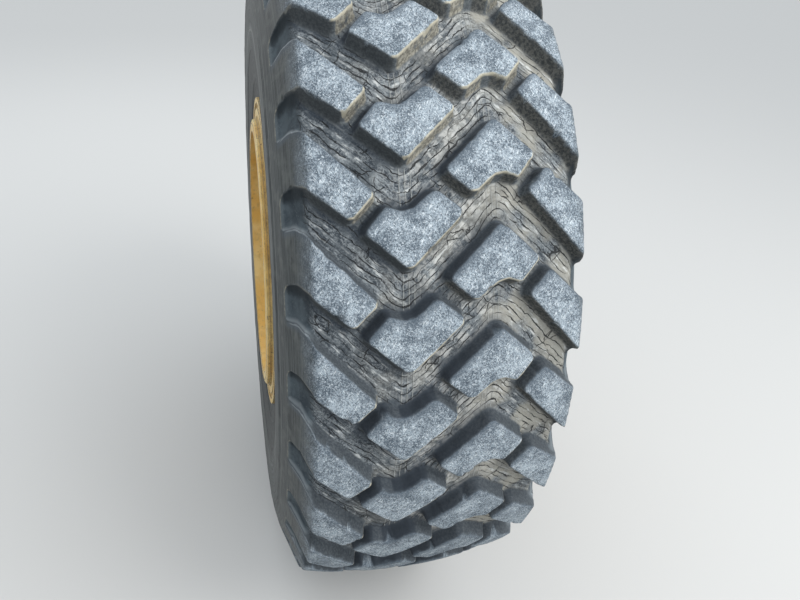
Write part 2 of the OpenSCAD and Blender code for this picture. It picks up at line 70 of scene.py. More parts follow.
# Camera, placed by the tread's fitted perspective: metres, then tilt, pan and roll in radians
CAMERA_AT = Vector((1.413, wheel_y * MM - 0.311, 0.800))
CAMERA_TURNS = (0.596, 0.2475, 0.0551)
CAMERA_FOCUS_PX = 656.8
CAMERA_CLIP = (0.05, 100)
SENSOR_W = 36
IMAGE_W = 800

# Light: an overcast dome that is stronger overhead, ahead and inboard, and three soft lamps, in metres
SKY_COLOUR = (0.90, 0.95, 1.0, 1)
SKY_TILT = 0.28
SKY_LOW, SKY_HIGH = -0.35, 1.0
SKY_STRENGTHS = (0.34, 1.34)
WHITE = (1, 1, 1, 1)
LAMPS_AIM = Vector((0, -0.3, 0))
LAMPS = (("key", (2.6, 1.9, 3.4), 2.4, 108, (1.0, 0.98, 0.95)),
         ("fill", (4.1, 1.3, 0.8), 2.6, 42, (0.97, 0.99, 1.0)),
         ("back", (-3.2, -1.4, 2.6), 2.2, 30, (0.95, 0.98, 1.0)))
FLOOR_REACH_M = 40
FLOOR_SEEN = (0.58, 0.575, 0.56, 1)
FLOOR_BOUNCE = (0.25, 0.24, 0.225, 1)

# Tyre profile. Each shoulder has the tread's half width, the buttress's lean in degrees, and a round
CROWN_ARC_R = 943.0
CROWN_POINTS = 24
SHOULDERS = {OUTBOARD: (204.0, 21.0, 34.0), INBOARD: (212.5, 19.0, 16.0)}
BUTTRESS_FOOT_R, BUTTRESS_FOOT_ROUND = 634.0, 120
WIDEST_R = 530.0
SIDEWALL_ARC_R = 712.0
SIDEWALL_INSET = 0.2
SIDEWALL_LINE_R = np.linspace(602, 378, 32)
BEAD_CORNERS = [(366, 230.6), (361.4, 227.0), (360.9, 223.0)]
BEAD_ROUNDS = [6, 3, 0]
PROFILE_SPACING = 2.0
TREAD_END = 330.0

# Raised ribs of the sidewalls: radius, height and half width
SIDEWALL_RIBS = ((586, 1.5, 3.0), (576, 1.5, 3.0), (462, 1.2, 2.6), (404, 2.0, 4.0), (392, 1.2, 2.4))
SIDEWALL_RIB_ROWS, SIDEWALL_RIB_CLEAR = 7, 1.2
SIDEWALL_RIB_SLOPE, SIDEWALL_RIB_FLAT = 1.15, 0.8

# Sidewalls between the ribs: the rows' spacing, depth below the profile, lengths over which it fades at
# the tread and the rim, and layers of noise as (height, size, seed)
SIDEWALL_ROW = 4.5
SIDEWALL_SUNK = 0.9
SIDEWALL_FADES = (12, 25)
SIDEWALL_NOISE = ((0.5, 40, 8), (0.25, 12, 9))

# Grooves, which deepen towards the shoulders and end in scoops out of the buttresses
GROOVE_DEPTH = 27.0
GROOVE_DEEPER = 4.0
SCOOP_START = 216.0
SCOOP_LEAD = 16
SCOOP_PULLS = ((-3, 17), (3, -18))
FLOOR_POINTS, SCOOP_POINTS = 40, 60
SCOOP_ROUND = 27
POCKET_END = 299.0

# Tread pattern. Points are (distance along the profile, distance round the crown) from the middle of
# a pitch. The other half of the pitch is the same pattern turned half a turn about that middle
PITCHES = 30
PITCH_START = math.radians(5.6)
TREAD_SECTORS = 3
TURNS_PER_PITCH = 18
pitch_len = 2 * math.pi * tyre_r / PITCHES
pitch_step = np.array([0, pitch_len])
COPIES = range(-3, 4)
FAR_OUT = 400
CENTRE_BLOCK = [(-134, -21), (-102, -58.5), (-79, -51.5), (-62, -56), (-29, -83.5), (15, -47), (-69, 34.5)]
CENTRE_ROUNDS = [9, 8, 12, 12, 14, 10, 12]
SHOULDER_LINE = [(-POCKET_END, -60), (-POCKET_END, -97), (-256, -103), (-212, -89), (-150, -37),
                 (-113, -76), (-212, -177), (-256, -192), (-POCKET_END, -190)]
SHOULDER_ROUNDS = [0, 30, 40, 40, 11, 10, 50, 30, 9]

# Middle line of a groove, outboard of the middle of the tread, and how far it is smoothed
GROOVE_TURNS_U = np.array([72, 212, 256, POCKET_END])
GROOVE_TURNS_ROUND = np.array([-69.3, 55.2, 69.3, 65.0])
GROOVE_LINE_U = np.arange(-340.0, 341.0, 2.0)
GROOVE_SMOOTHING = 11

# Grooves run aslant, so each millimetre round the crown is less than one across them
GROOVE_SLANT = 0.72
STRATA_DRAWN_OUT = 0.22
CRACKS_PER_PITCH = 22
CRACK_SPACING = pitch_len * GROOVE_SLANT / CRACKS_PER_PITCH

# Thin ribs that the mould left, in two places of a pitch and their neighbours
MOULD_RIBS_AT = ((66, 87), (-66, -87))
MOULD_RIBS_HALF = (15, 33)
MOULD_RIBS_FADE = (2, 4)

# Walls of a lug, and the distances from its outline at which rings of points follow it
EDGE_SPACING = 3.2
BEVEL = 5.0
FILLET = 9.0
DRAFT = math.tan(math.radians(12))
SIDE_RUN = (GROOVE_DEPTH - BEVEL - FILLET) * DRAFT
RINGS = (-11.0, -BEVEL, -3.6, -2.1, -0.9, 0.0,
         SIDE_RUN, SIDE_RUN + 1.6, SIDE_RUN + 4, SIDE_RUN + FILLET)
RING_SLACK = 0.12
JITTER = 0.01

# Grids of points between the rings: spacing and gap on the floors and on the lugs, the rows' share of a
# spacing, the first point's place in its cell, and the border left clear
FLOOR_GRID, FLOOR_GRID_GAP = 6.0, 2.5
TOP_GRID, TOP_GRID_GAP = 9.0, 4.5
GRID_ROW = 0.866
GRID_START = (0.21, 0.37)
GRID_EDGE = 0.6
FACING_PROBE = 0.8
WELDS_PER_MM = 20

# Wear of the lugs. Layers of noise are (height, size, seed), and fades (start, length)
RAGGED_EDGE = ((0.9, 16, 1), (0.5, 7, 2))
NICK_NOISE = ((1, 13, 3),)
NICK_FROM, NICK_DEPTH, NICK_REACH = 0.42, 9, 9
UNEVEN_SKIN = ((0.45, 45, 4), (0.25, 11, 5))
ROUGH_FLOOR = ((1.1, 24, 6),)
ROUGH_STRATA = ((1.5, 13, 7), (0.5, 8, 10))
SKIN_SUNK = 0.6
WEAR_FADES = (280, 30)
HOLLOW_STARTS = (SCOOP_START - 6, 22)


# Objects, noise and lines

def add_object(name, data):
    thing = bpy.data.objects.new(name, data)
    bpy.context.scene.collection.objects.link(thing)
    return thing


def new_mesh(name, points_mm, faces, attributes):
    """A smooth mesh piece from points in millimetres in the row frame, with values at its points."""
    mesh = bpy.data.meshes.new(name)
    points = np.asarray(points_mm, np.float32) * MM
    faces = np.asarray(faces, np.int32)
    mesh.vertices.add(len(points))
    mesh.vertices.foreach_set("co", points.ravel())
    mesh.loops.add(faces.size)
    mesh.loops.foreach_set("vertex_index", faces.ravel())
    mesh.polygons.add(len(faces))
    mesh.polygons.foreach_set("loop_start", np.arange(0, faces.size, faces.shape[1], dtype=np.int32))
    for key, values in attributes.items():
        values = np.asarray(values, np.float32)
        kind, field = ("FLOAT", "value") if values.ndim == 1 else ("FLOAT_VECTOR", "vector")
        mesh.attributes.new(key, kind, "POINT").data.foreach_set(field, values.ravel())
    mesh.polygons.foreach_set("use_smooth", np.full(len(faces), True))
    mesh.update(calc_edges=True)
    mesh.validate()
    return add_object(name, mesh)


def add_tyre_piece(name, points_mm, faces, attributes, material):
    """A piece of the tyre, which turns with the wheel and takes the place of the CAD tyre."""
    piece = new_mesh(name, points_mm, faces, attributes)
    piece.data.materials.append(material)
    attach(piece, "wheel")
    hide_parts("tyre")


def lattice_noise(points, scale, seed):
    """Smooth noise from -1 to 1 at points in millimetres, with features about scale across."""
    p = np.asarray(points, float) / scale
    cell = np.floor(p).astype(np.int64)
    f = p - cell
    f = f * f * (3 - 2 * f)
    total = np.zeros(len(p))
    for corner in range(8):
        d = np.array([corner & 1, corner >> 1 & 1, corner >> 2 & 1])
        c = (cell + d) * np.array([73856093, 19349663, 83492791])
        h = (c[:, 0] ^ c[:, 1] ^ c[:, 2] ^ (seed * 2654435761)) & 0xFFFFFFFF
        h = (h ^ (h >> 13)) * 1274126177 & 0xFFFFFFFF
        h = (h ^ (h >> 16)) & 0xFFFF
        weight = np.prod(np.where(d == 1, f, 1 - f), axis=1)
        total += weight * (h / 32767.5 - 1)
    return total


def layered_noise(points, layers):
    """Sum of layers of noise, each with its height, size and seed."""
    return sum(high * lattice_noise(points, scale, seed) for high, scale, seed in layers)


def smooth(share):
    """A share from 0 to 1 that starts and ends softly."""
    return share * share * (3 - 2 * share)


def rounded_line(corners, radii, spacing, closed):
    """Points along a line with rounded corners, about spacing apart, and closer on the rounds."""
    most_of_edge, nearly_straight, closer = 0.48, 0.02, 0.6
    corners = [np.array(c, float) for c in corners]
    n = len(corners)
    pieces = []
    for i, corner in enumerate(corners):
        if not closed and i in (0, n - 1):
            pieces.append([corner])
            continue
        a = corners[i - 1] - corner
        b = corners[(i + 1) % n] - corner
        la, lb = np.linalg.norm(a), np.linalg.norm(b)
        a, b = a / la, b / lb
        half = math.acos(float(np.clip(a @ b, -1, 1))) / 2
        if radii[i] <= 0 or half > math.pi / 2 - nearly_straight:
            pieces.append([corner])
            continue
        reach = min(radii[i] / math.tan(half), la * most_of_edge, lb * most_of_edge)
        r = reach * math.tan(half)
        centre = corner + (a + b) / np.linalg.norm(a + b) * (r / math.sin(half))
        p, q = corner + a * reach - centre, corner + b * reach - centre
        turn = math.atan2(p[0] * q[1] - p[1] * q[0], p @ q)
        steps = max(2, math.ceil(abs(turn) * r / (spacing * closer)))
        rounds = []
        for t in np.linspace(0, turn, steps + 1):
            c, s = math.cos(t), math.sin(t)
            rounds.append(centre + np.array([c * p[0] - s * p[1], s * p[0] + c * p[1]]))
        pieces.append(rounds)
    out = []
    for i, rounds in enumerate(pieces):
        out += rounds
        if not closed and i == n - 1:
            break
        end, start = rounds[-1], pieces[(i + 1) % n][0]
        steps = max(1, round(float(np.linalg.norm(start - end)) / spacing))
        out += [end + (start - end) * k / steps for k in range(1, steps)]
    return np.array(out)


# Tyre profile: skin over the lugs, and floor of the grooves. Distances along it, called u, are positive
# outboard and negative inboard, and so are stations across the wheel, called w

def crown_at(w):
    return tyre_r - CROWN_ARC_R + np.sqrt(CROWN_ARC_R ** 2 - np.asarray(w, float) ** 2)


def sidewall_at(r):
    bulge = np.sqrt(SIDEWALL_ARC_R ** 2 - (np.asarray(r, float) - WIDEST_R) ** 2) - SIDEWALL_ARC_R
    return half_section - SIDEWALL_INSET + bulge


def skin_profile(side):
    """Outer profile from the crown to the side ring: distance along it, radius and station."""
    shoulder_w, lean, shoulder_round = SHOULDERS[side]
    shoulder_r = float(crown_at(shoulder_w))
    foot_w = shoulder_w + (shoulder_r - BUTTRESS_FOOT_R) * math.tan(math.radians(lean))
    corners = [(float(crown_at(w)), w) for w in np.linspace(0, shoulder_w, CROWN_POINTS)]
    corners += [(BUTTRESS_FOOT_R, foot_w)]
    corners += [(r, float(sidewall_at(r))) for r in SIDEWALL_LINE_R]
    radii = [0] * (CROWN_POINTS - 1) + [shoulder_round, BUTTRESS_FOOT_ROUND] + [0] * len(SIDEWALL_LINE_R)
    line = rounded_line(corners + BEAD_CORNERS, radii + BEAD_ROUNDS, PROFILE_SPACING, closed=False)
    along = np.concatenate([[0], np.cumsum(np.linalg.norm(np.diff(line, axis=0), axis=1))])
    return along, line[:, 0], line[:, 1]


def both_sides(u, profiles):
    """Radius and signed station at signed distances along a pair of profiles."""
    u = np.asarray(u, float)
    (out_r, out_w), (in_r, in_w) = (
        (np.interp(abs(u), along, r), np.interp(abs(u), along, w) * side)
        for side, (along, r, w) in profiles.items())
    return np.where(u >= 0, out_r, in_r), np.where(u >= 0, out_w, in_w)


def groove_profile(side):
    """Floor of the grooves: under the crown, then scooped out of the buttress to a lip."""
    flat_u = np.linspace(0, SCOOP_START - SCOOP_LEAD, FLOOR_POINTS)
    r, w = skin_at(flat_u * side)
    flat = np.stack([r - GROOVE_DEPTH - GROOVE_DEEPER * (flat_u / SCOOP_START) ** 2, abs(w)], axis=1)
    start = flat[-1]
    end = np.array([float(v) for v in skin_at(POCKET_END * side)]) * (1, side)
    t = np.linspace(0, 1, SCOOP_POINTS)[1:, None]
    curve = ((1 - t) ** 3 * start + 3 * (1 - t) ** 2 * t * (start + SCOOP_PULLS[0])
             + 3 * (1 - t) * t ** 2 * (end + SCOOP_PULLS[1]) + t ** 3 * end)
    u = np.concatenate([flat_u, np.linspace(flat_u[-1], POCKET_END, SCOOP_POINTS)[1:]])
    line = np.concatenate([flat, curve])
    return u, line[:, 0], line[:, 1]


SKINS = {side: skin_profile(side) for side in (OUTBOARD, INBOARD)}


def skin_at(u):
    return both_sides(u, SKINS)


FLOORS = {side: groove_profile(side) for side in (OUTBOARD, INBOARD)}


def groove_at(u):
    top, low = skin_at(u), both_sides(u, FLOORS)
    inside = abs(np.asarray(u, float)) <= POCKET_END
    return np.where(inside, low[0], top[0]), np.where(inside, low[1], top[1])


def on_wheel(r, w, turn):
    """Points in the row frame at a radius, station and angle on the wheel."""
    return np.stack([r * np.cos(turn), wheel_y - w, r * np.sin(turn)], axis=1)


# Tread

def drop_share(d):
    """Share of the groove's depth at a distance outside a lug's outline."""
    d = np.asarray(d, float)
    bevel = BEVEL - np.sqrt(np.clip(BEVEL ** 2 - np.clip(d + BEVEL, 0, BEVEL) ** 2, 0, None))
    side = BEVEL + np.clip(d, 0, SIDE_RUN) / DRAFT
    x = np.clip((d - SIDE_RUN) / FILLET, 0, 1)
    foot = GROOVE_DEPTH - FILLET + FILLET * np.sqrt(1 - (1 - x) ** 2)
    depth = np.where(d <= 0, bevel, np.where(d <= SIDE_RUN, side, foot))
    return depth / GROOVE_DEPTH


def tread_outlines():
    """Outlines of one pitch's lugs, each with the step to its next copy if open, or else None."""
    block = rounded_line(CENTRE_BLOCK, CENTRE_ROUNDS, EDGE_SPACING, closed=True)
    next_start = (-POCKET_END, SHOULDER_LINE[0][1] - pitch_len)
    comb = rounded_line(SHOULDER_LINE + [next_start], SHOULDER_ROUNDS + [0], EDGE_SPACING, closed=False)[:-1]
    outlines = []
    for half in (1, -1):
        outlines += [(block * half, None), (comb * half, -pitch_step * half)]
    return outlines


def next_points(points, wrap):
    """Each point's next one, where an open line goes on in its next copy."""
    return np.roll(points, -1, axis=0) if wrap is None else np.vstack([points[1:], points[0] + wrap])


def line_normals(points, wrap):
    """Unit normals to the right of a line of points."""
    before = np.roll(points, 1, axis=0) if wrap is None else np.vstack([points[-1] - wrap, points[:-1]])
    t = next_points(points, wrap) - before
    n = np.stack([t[:, 1], -t[:, 0]], axis=1)
    return n / np.linalg.norm(n, axis=1)[:, None]


class LugOutlines:
    """The outlines of the lugs over several pitches, for distances from them."""

    CHUNK = 2000

    def __init__(self, outlines):
        segments, self.regions = [], []
        for points, wrap in outlines:
            after = next_points(points, wrap)
            segments += [np.stack([points + k * pitch_step, after + k * pitch_step], axis=1) for k in COPIES]
            if wrap is None:
                self.regions += [points + k * pitch_step for k in COPIES]
            else:
                line = np.concatenate([points + k * wrap for k in COPIES])
                far_u = math.copysign(FAR_OUT, points[0][0])
                self.regions.append(np.vstack([line, (far_u, line[-1][1]), (far_u, line[0][1])]))
        self.segments = np.concatenate(segments)

    def inside(self, points):
        """Whether each point is in a lug, by how often a line from it crosses each lug's outline."""
        x, y = points[:, 0], points[:, 1]
        inside = np.zeros(len(points), bool)
        for region in self.regions:
            odd = np.zeros(len(points), bool)
            for (x0, y0), (x1, y1) in zip(region, np.roll(region, -1, axis=0)):
                if y0 != y1:
                    odd ^= ((y0 > y) != (y1 > y)) & (x < (x1 - x0) * (y - y0) / (y1 - y0) + x0)
            inside |= odd
        return inside

    def distance(self, points):
        """Distance to the nearest outline, negative inside a lug."""
        a, b = self.segments[:, 0], self.segments[:, 1]
        ab = b - a
        length2 = (ab ** 2).sum(1)
        best = np.empty(len(points))
        for k in range(0, len(points), self.CHUNK):
            p = points[k:k + self.CHUNK, None, :]
            t = np.clip(((p - a) * ab).sum(2) / length2, 0, 1)
            near = a + ab * t[:, :, None]
            best[k:k + self.CHUNK] = np.sqrt(((p - near) ** 2).sum(2)).min(1)
        return np.where(self.inside(points), -best, best)


def rings_along(outlines, lugs):
    """Rings of points at set distances from the outlines: points, which ones count, and if it closes."""
    rings = []
    for points, wrap in outlines:
        normals = line_normals(points, wrap)
        outward = 1 if np.median(lugs.distance(points + normals)) > 0 else -1
        for distance in RINGS:
            ring = points + normals * outward * distance
            rings.append((ring, abs(lugs.distance(ring) - distance) < RING_SLACK, wrap is None))
    return rings


def grid_points(spacing, edge_u):
    """A grid of triangles' corners over one pitch, up to edge_u on each side."""
    rows = round(pitch_len / (spacing * GRID_ROW) / 2) * 2
    cells = []
    for j in range(rows):
        y = (j + GRID_START[1]) * pitch_len / rows - pitch_len / 2
        for i in range(int(2 * edge_u / spacing) + 1):
            cells.append((-edge_u + (i + 0.5 * (j % 2) + GRID_START[0]) * spacing, y))
    cells = np.array(cells)
    return cells[abs(cells[:, 0]) < edge_u - spacing * GRID_EDGE]


def points_between(lugs):
    """Points of a pitch clear of the rings: on the floors, on the lugs, and along both borders."""
    floors = grid_points(FLOOR_GRID, POCKET_END - 2)
    tops = grid_points(TOP_GRID, TREAD_END)
    fills = [floors[lugs.distance(floors) > RINGS[-1] + FLOOR_GRID_GAP],
             tops[lugs.distance(tops) < RINGS[0] - TOP_GRID_GAP]]
    for side in (-1, 1):
        fills.append(np.array([(side * TREAD_END, (k / TURNS_PER_PITCH - 0.5) * pitch_len)
                               for k in range(TURNS_PER_PITCH)]))
    return np.concatenate(fills)


def triangulated(rings, fill):
    """Points and triangles of one pitch, found over several so that each pitch joins the next."""
    jitter = np.random.default_rng(7)
    rings = [(ring + jitter.uniform(-JITTER, JITTER, ring.shape), keep, closed)
             for ring, keep, closed in rings]
    points, constraints = [], []
    for k in COPIES[1:-1]:
        for ring, keep, closed in rings:
            index = np.full(len(ring), -1)
            index[keep] = np.arange(keep.sum()) + len(points)
            after = np.roll(index, -1)
            if not closed:
                after[-1] = -1
            points += [tuple(p) for p in (ring + k * pitch_step)[keep]]
            constraints += [(int(i), int(j)) for i, j in zip(index, after) if i >= 0 and j >= 0]
        points += [tuple(p) for p in fill + k * pitch_step]
    verts, _, faces, _, _, _ = delaunay_2d_cdt([Vector(p) for p in points], constraints, [], 0, 1e-4)
    flat = np.array([tuple(v) for v in verts])
    faces = np.array([f for f in faces if len(f) == 3])
    middle = flat[faces].mean(1)
    faces = faces[(middle[:, 1] >= -pitch_len / 2) & (middle[:, 1] < pitch_len / 2)]
    used, faces = np.unique(faces, return_inverse=True)
    faces = faces.reshape(-1, 3)
    flat = flat[used]
    a, b, c = (flat[faces[:, k]] for k in range(3))
    turned = np.cross(b - a, c - a) > 0
    faces[turned] = faces[turned][:, ::-1]
    return flat, faces


def tread_pitch():
    """One pitch as a flat mesh: points, triangles, distance from the lugs, and which way a wall faces."""
    outlines = tread_outlines()
    lugs = LugOutlines(outlines)
    flat, faces = triangulated(rings_along(outlines, lugs), points_between(lugs))
    distance = lugs.distance(flat)
    ahead = [distance - lugs.distance(flat + shift) for shift in ((FACING_PROBE, 0), (0, FACING_PROBE))]
    facing = np.stack(ahead, axis=1) / np.maximum(np.hypot(*ahead), 1e-6)[:, None]
    return flat, faces, distance, facing


def mould_ribs(flat):
    """Share of thin ribs, which lie between a centre block's point and the next one's notch."""
    share = np.zeros(len(flat))
    for u, a in MOULD_RIBS_AT:
        for place in ((u, a), (u, a - math.copysign(pitch_len, a))):
            near = np.clip((MOULD_RIBS_HALF - abs(flat - place)) / MOULD_RIBS_FADE, 0, 1)
            share = np.maximum(share, near.prod(axis=1))
    return share


def groove_line(u):
    """Distance round the crown of the middle of a groove, which zigzags across the tread."""
    line = np.interp(GROOVE_LINE_U, np.concatenate([-GROOVE_TURNS_U[::-1], [0], GROOVE_TURNS_U]),
                     np.concatenate([-GROOVE_TURNS_ROUND[::-1], [0], GROOVE_TURNS_ROUND]))
    soft = np.hanning(2 * GROOVE_SMOOTHING + 1)
    line = np.convolve(np.pad(line, GROOVE_SMOOTHING, mode="edge"), soft / soft.sum(), mode="valid")
    return np.interp(u, GROOVE_LINE_U, line)


def strata_place(flat, angle):
    """Where the strata of the grooves' rubber lie: fine across a groove, and drawn out along it."""
    turn = angle + (flat[:, 1] - groove_line(flat[:, 0])) / tyre_r
    r = GROOVE_SLANT * tyre_r
    return np.stack([r * np.cos(turn), STRATA_DRAWN_OUT * flat[:, 0], r * np.sin(turn)], axis=1)


def tread_points(flat, distance, angle):
    """Where flat tread points lie in the row frame at an angle round the wheel, with their wear."""
    u = flat[:, 0]
    turn = angle + flat[:, 1] / tyre_r
    top_r, top_w = skin_at(u)
    low_r, low_w = groove_at(u)
    skin = on_wheel(top_r, top_w, turn)
    worn = 1 - np.clip((abs(u) - WEAR_FADES[0]) / WEAR_FADES[1], 0, 1)
    nicks = np.clip(layered_noise(skin, NICK_NOISE) - NICK_FROM, 0, 1) * NICK_DEPTH
    d = distance + worn * (layered_noise(skin, RAGGED_EDGE) + nicks * (abs(distance) < NICK_REACH))
    on_floor = np.clip((d - SIDE_RUN) / FILLET, 0, 1)
    hollow = smooth(np.clip((abs(u) - HOLLOW_STARTS[0]) / HOLLOW_STARTS[1], 0, 1))
    scooped = np.sqrt(1 - (1 - np.clip(d / SCOOP_ROUND, 0, 1)) ** 2) * (d > 0)
    share = drop_share(d) * (1 - hollow) + scooped * hollow
    rough = layered_noise(skin, ROUGH_FLOOR) + layered_noise(strata_place(flat, angle), ROUGH_STRATA)
    lift = layered_noise(skin, UNEVEN_SKIN) * worn + rough * on_floor * (1 - hollow) - SKIN_SUNK
    r = top_r + (low_r - top_r) * share + lift * (abs(u) < TREAD_END - 1)
    w = top_w + (low_w - top_w) * share
    return on_wheel(r, w, turn)


def make_tread(material):
    """The whole tread in sectors, each a run of pitches with the same flat mesh."""
    flat, faces, distance, facing = tread_pitch()
    ribs = mould_ribs(flat)
    pitches = PITCHES // TREAD_SECTORS
    for sector in range(TREAD_SECTORS):
        points, triangles, attributes = [], [], []
        for k in range(pitches):
            pitch = sector * pitches + k
            angle = PITCH_START + pitch * 2 * math.pi / PITCHES
            turned = flat[:, 1] + pitch * pitch_len
            points.append(tread_points(flat, distance, angle))
            triangles.append(faces + k * len(flat))
            attributes.append({
                "edge": distance, "across": flat[:, 0], "round": turned,
                "inward": facing[:, 0], "down": facing[:, 1],
                "groove": (turned - groove_line(flat[:, 0])) * GROOVE_SLANT,
                "ribs": ribs, "strata": strata_place(flat, angle) * MM})
        points = np.concatenate(points)
        _, first, inverse = np.unique(np.round(points * WELDS_PER_MM).astype(np.int64), axis=0,
                                      return_index=True, return_inverse=True)
        values = {key: np.concatenate([a[key] for a in attributes])[first] for key in attributes[0]}
        add_tyre_piece(f"tyre_tread_{sector + 1}", points[first],
                       inverse.ravel()[np.concatenate(triangles)], values, material)


# Sidewalls

def sidewall_rows(side):
    """Distances along the profile, closer over the raised ribs."""
    along, r, _ = SKINS[side]
    rows = list(np.linspace(TREAD_END, along[-1], round((along[-1] - TREAD_END) / SIDEWALL_ROW)))
    for rib_r, _, wide in SIDEWALL_RIBS:
        at = along[np.argmin(abs(r - rib_r))]
        rows = [u for u in rows if abs(u - at) > wide + SIDEWALL_RIB_CLEAR]
        rows += list(at + np.linspace(-wide, wide, SIDEWALL_RIB_ROWS))
    return np.array(sorted(rows))


def make_sidewalls(material):
    """Both sidewalls from the tread's border to the side rings, uneven and with raised ribs."""
    turns = PITCHES * TURNS_PER_PITCH
    angle = PITCH_START + (np.arange(turns) / TURNS_PER_PITCH - 0.5) * pitch_len / tyre_r
    for side, name in ((OUTBOARD, "tyre_sidewall_outer"), (INBOARD, "tyre_sidewall_inner")):
        last = SKINS[side][0][-1]
        rows = sidewall_rows(side)
        u = np.repeat(rows, turns) * side
        r, w = skin_at(u)
        points = on_wheel(r, w, np.tile(angle, len(rows)))
        fade = (np.clip((abs(u) - TREAD_END) / SIDEWALL_FADES[0], 0, 1)
                * np.clip((last - abs(u)) / SIDEWALL_FADES[1], 0, 1))
        sunk = SIDEWALL_SUNK + layered_noise(points, SIDEWALL_NOISE)
        for rib_r, high, wide in SIDEWALL_RIBS:
            painted_highlight = np.clip(SIDEWALL_RIB_SLOPE - abs(r - rib_r) / wide, 0, SIDEWALL_RIB_FLAT)
            sunk -= high * painted_highlight / SIDEWALL_RIB_FLAT
        points[:, 1] += side * fade * sunk
        k = np.arange(len(rows) - 1)[:, None] * turns
        i, j = np.arange(turns), (np.arange(turns) + 1) % turns
        quads = np.stack([k + i, k + j, k + turns + j, k + turns + i], axis=2).reshape(-1, 4)
        if side == INBOARD:
            quads = quads[:, ::-1]
        add_tyre_piece(name, points, quads, {"edge": np.full(len(points), -60.0), "across": u}, material)


# Materials

def srgb(rgb):
    """A colour written as 0 to 255 screen values, in Blender's linear light."""
    def linear(v):
        v /= 255
        return v / 12.92 if v <= 0.04045 else ((v + 0.055) / 1.055) ** 2.4
    return (*map(linear, rgb), 1.0)


def as_colour(value):
    """Screen values turned into linear light, and a linear colour or a socket as it is."""
    return srgb(value) if isinstance(value, tuple) and len(value) == 3 else value


class Graph:
    """Short calls that build the nodes of one tree."""

    def __init__(self, tree):
        self.tree = tree

    def put(self, socket, value):
        if isinstance(value, bpy.types.NodeSocket):
            self.tree.links.new(value, socket)
        else:
            socket.default_value = value

    def node(self, kind, inputs=None, **settings):
        """A new node with its settings, and with its inputs by name or number."""
        node = self.tree.nodes.new("ShaderNode" + kind)
        for name, value in settings.items():
            setattr(node, name, value)
        for socket, value in (inputs or {}).items():
            self.put(node.inputs[socket], value)
        return node

    def math(self, kind, a, b=0.0, c=0.0):
        return self.node("Math", {0: a, 1: b, 2: c}, operation=kind).outputs[0]

    def scaled(self, value, by, plus):
        return self.math("MULTIPLY_ADD", value, by, plus)

    def most(self, a, b):
        return self.math("MAXIMUM", a, b)

    def times(self, first, *others):
        for other in others:
            first = self.math("MULTIPLY", first, other)
        return first

    def plus(self, first, *others):
        for other in others:
            first = self.math("ADD", first, other)
        return first

    def vector_math(self, kind, *values):
        return self.node("VectorMath", dict(enumerate(values)), operation=kind)

    def seen_directly(self):
        """1 for camera, glossy and transmission rays, and 0 for light that falls on the object."""
        path = self.node("LightPath").outputs
        share = path["Is Camera Ray"]
        for other in ("Is Glossy Ray", "Is Transmission Ray"):
            share = self.most(share, path[other])
        return share


